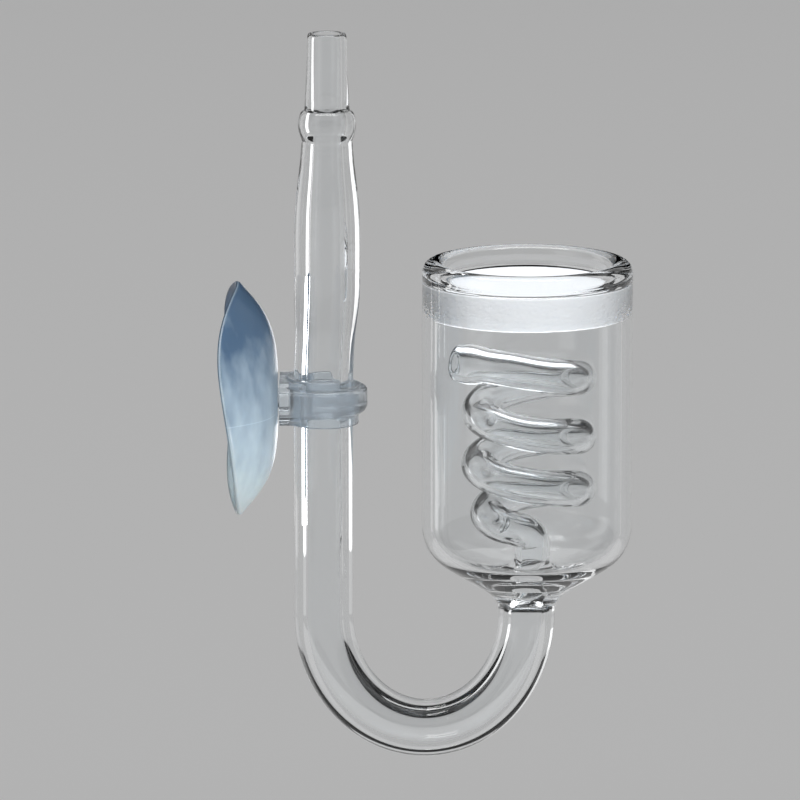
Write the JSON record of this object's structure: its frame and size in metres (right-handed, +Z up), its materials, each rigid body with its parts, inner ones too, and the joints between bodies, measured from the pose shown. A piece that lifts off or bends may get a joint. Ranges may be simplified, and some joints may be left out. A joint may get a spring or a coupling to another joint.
{
  "type": "carbon dioxide diffuser",
  "caption": "Clear glass in-tank gas diffuser: hose nozzle, U-bent stem, round chamber with a spiral bubble counter, white sintered disc, and a suction cup clip on the stem.",
  "frame": {"origin": "centre of the suction face, on the plane of the tank glass", "axes": "+Z up along the stem, +X away from the tank glass towards the chamber, +Y completes the right-handed frame"},
  "size_m": [0.0486, 0.0278, 0.0873],
  "materials": {
    "clear_glass": "fire-polished, clear",
    "sintered_glass": "fine grained, matt white",
    "soft_translucent": "milky, slightly blue, soft satin",
    "clear_plastic": "moulded clear, slightly hazy"
  },
  "bodies": {
    "suction_cup": {"suction_cup": "soft_translucent"},
    "holder": {"holder_ring": "clear_plastic"},
    "grip": {"grip_sleeve": "clear_plastic"},
    "glassware": {"hose_nozzle": "clear_glass", "stem_shoulder": "clear_glass", "stem_tube": "clear_glass", "u_bend": "clear_glass", "chamber_neck": "clear_glass", "chamber_shell": "clear_glass", "riser_tube": "clear_glass", "spiral_tube": "clear_glass", "diffuser_disc": "sintered_glass", "rim_ring": "clear_glass"}
  },
  "joints": [
    {"name": "cup_swivel", "type": "hinge", "parent": "suction_cup", "child": "holder", "pos_m": [0.005, 0, 0], "axis": [1, 0, 0], "continuous": true},
    {"name": "stem_turn", "type": "hinge", "parent": "holder", "child": "grip", "pos_m": [0.012, 0, 0], "axis": [0, 0, 1], "range_deg": [-85, 85]},
    {"name": "stem_slide", "type": "slide", "parent": "grip", "child": "glassware", "axis": [0, 0, 1], "range_m": [-0.004, 0.024]}
  ]
}
